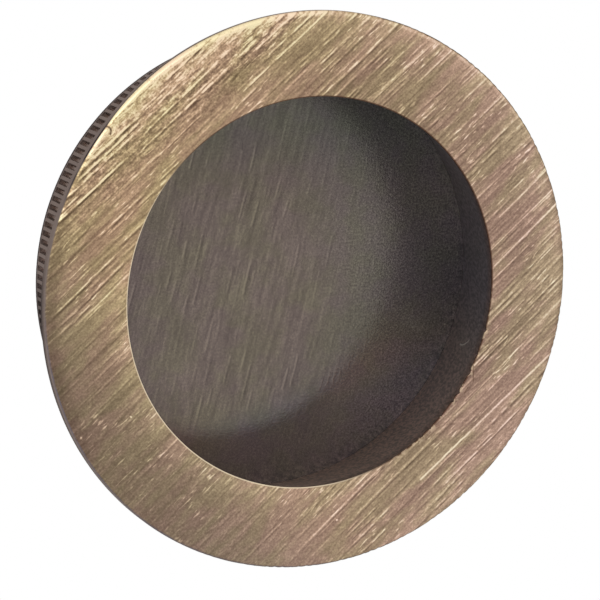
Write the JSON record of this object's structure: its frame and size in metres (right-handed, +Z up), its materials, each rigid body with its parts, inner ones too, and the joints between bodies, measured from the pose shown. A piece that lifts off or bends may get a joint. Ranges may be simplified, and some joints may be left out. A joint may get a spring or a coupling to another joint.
{
  "type": "recessed finger pull",
  "caption": "Round recessed finger pull in brushed antique brass, a shallow cup with a flat flange and a ribbed body that presses into a drilled hole.",
  "frame": {"origin": "on the axis of the round body, in the plane of the flange's back, where it meets the door's surface", "axes": "+Y back into the door along the body's axis, so the front faces -Y; +Z up and +X to the right, as the pull is fitted in an upright door"},
  "size_m": [0.04, 0.0098, 0.04],
  "materials": {
    "antique_brass": "antique brass, brushed in straight lines on the flange and the cup's base, dull in the cup and on the ribs"
  },
  "bodies": {
    "root": {"finger_pull": "antique_brass"}
  },
  "joints": []
}
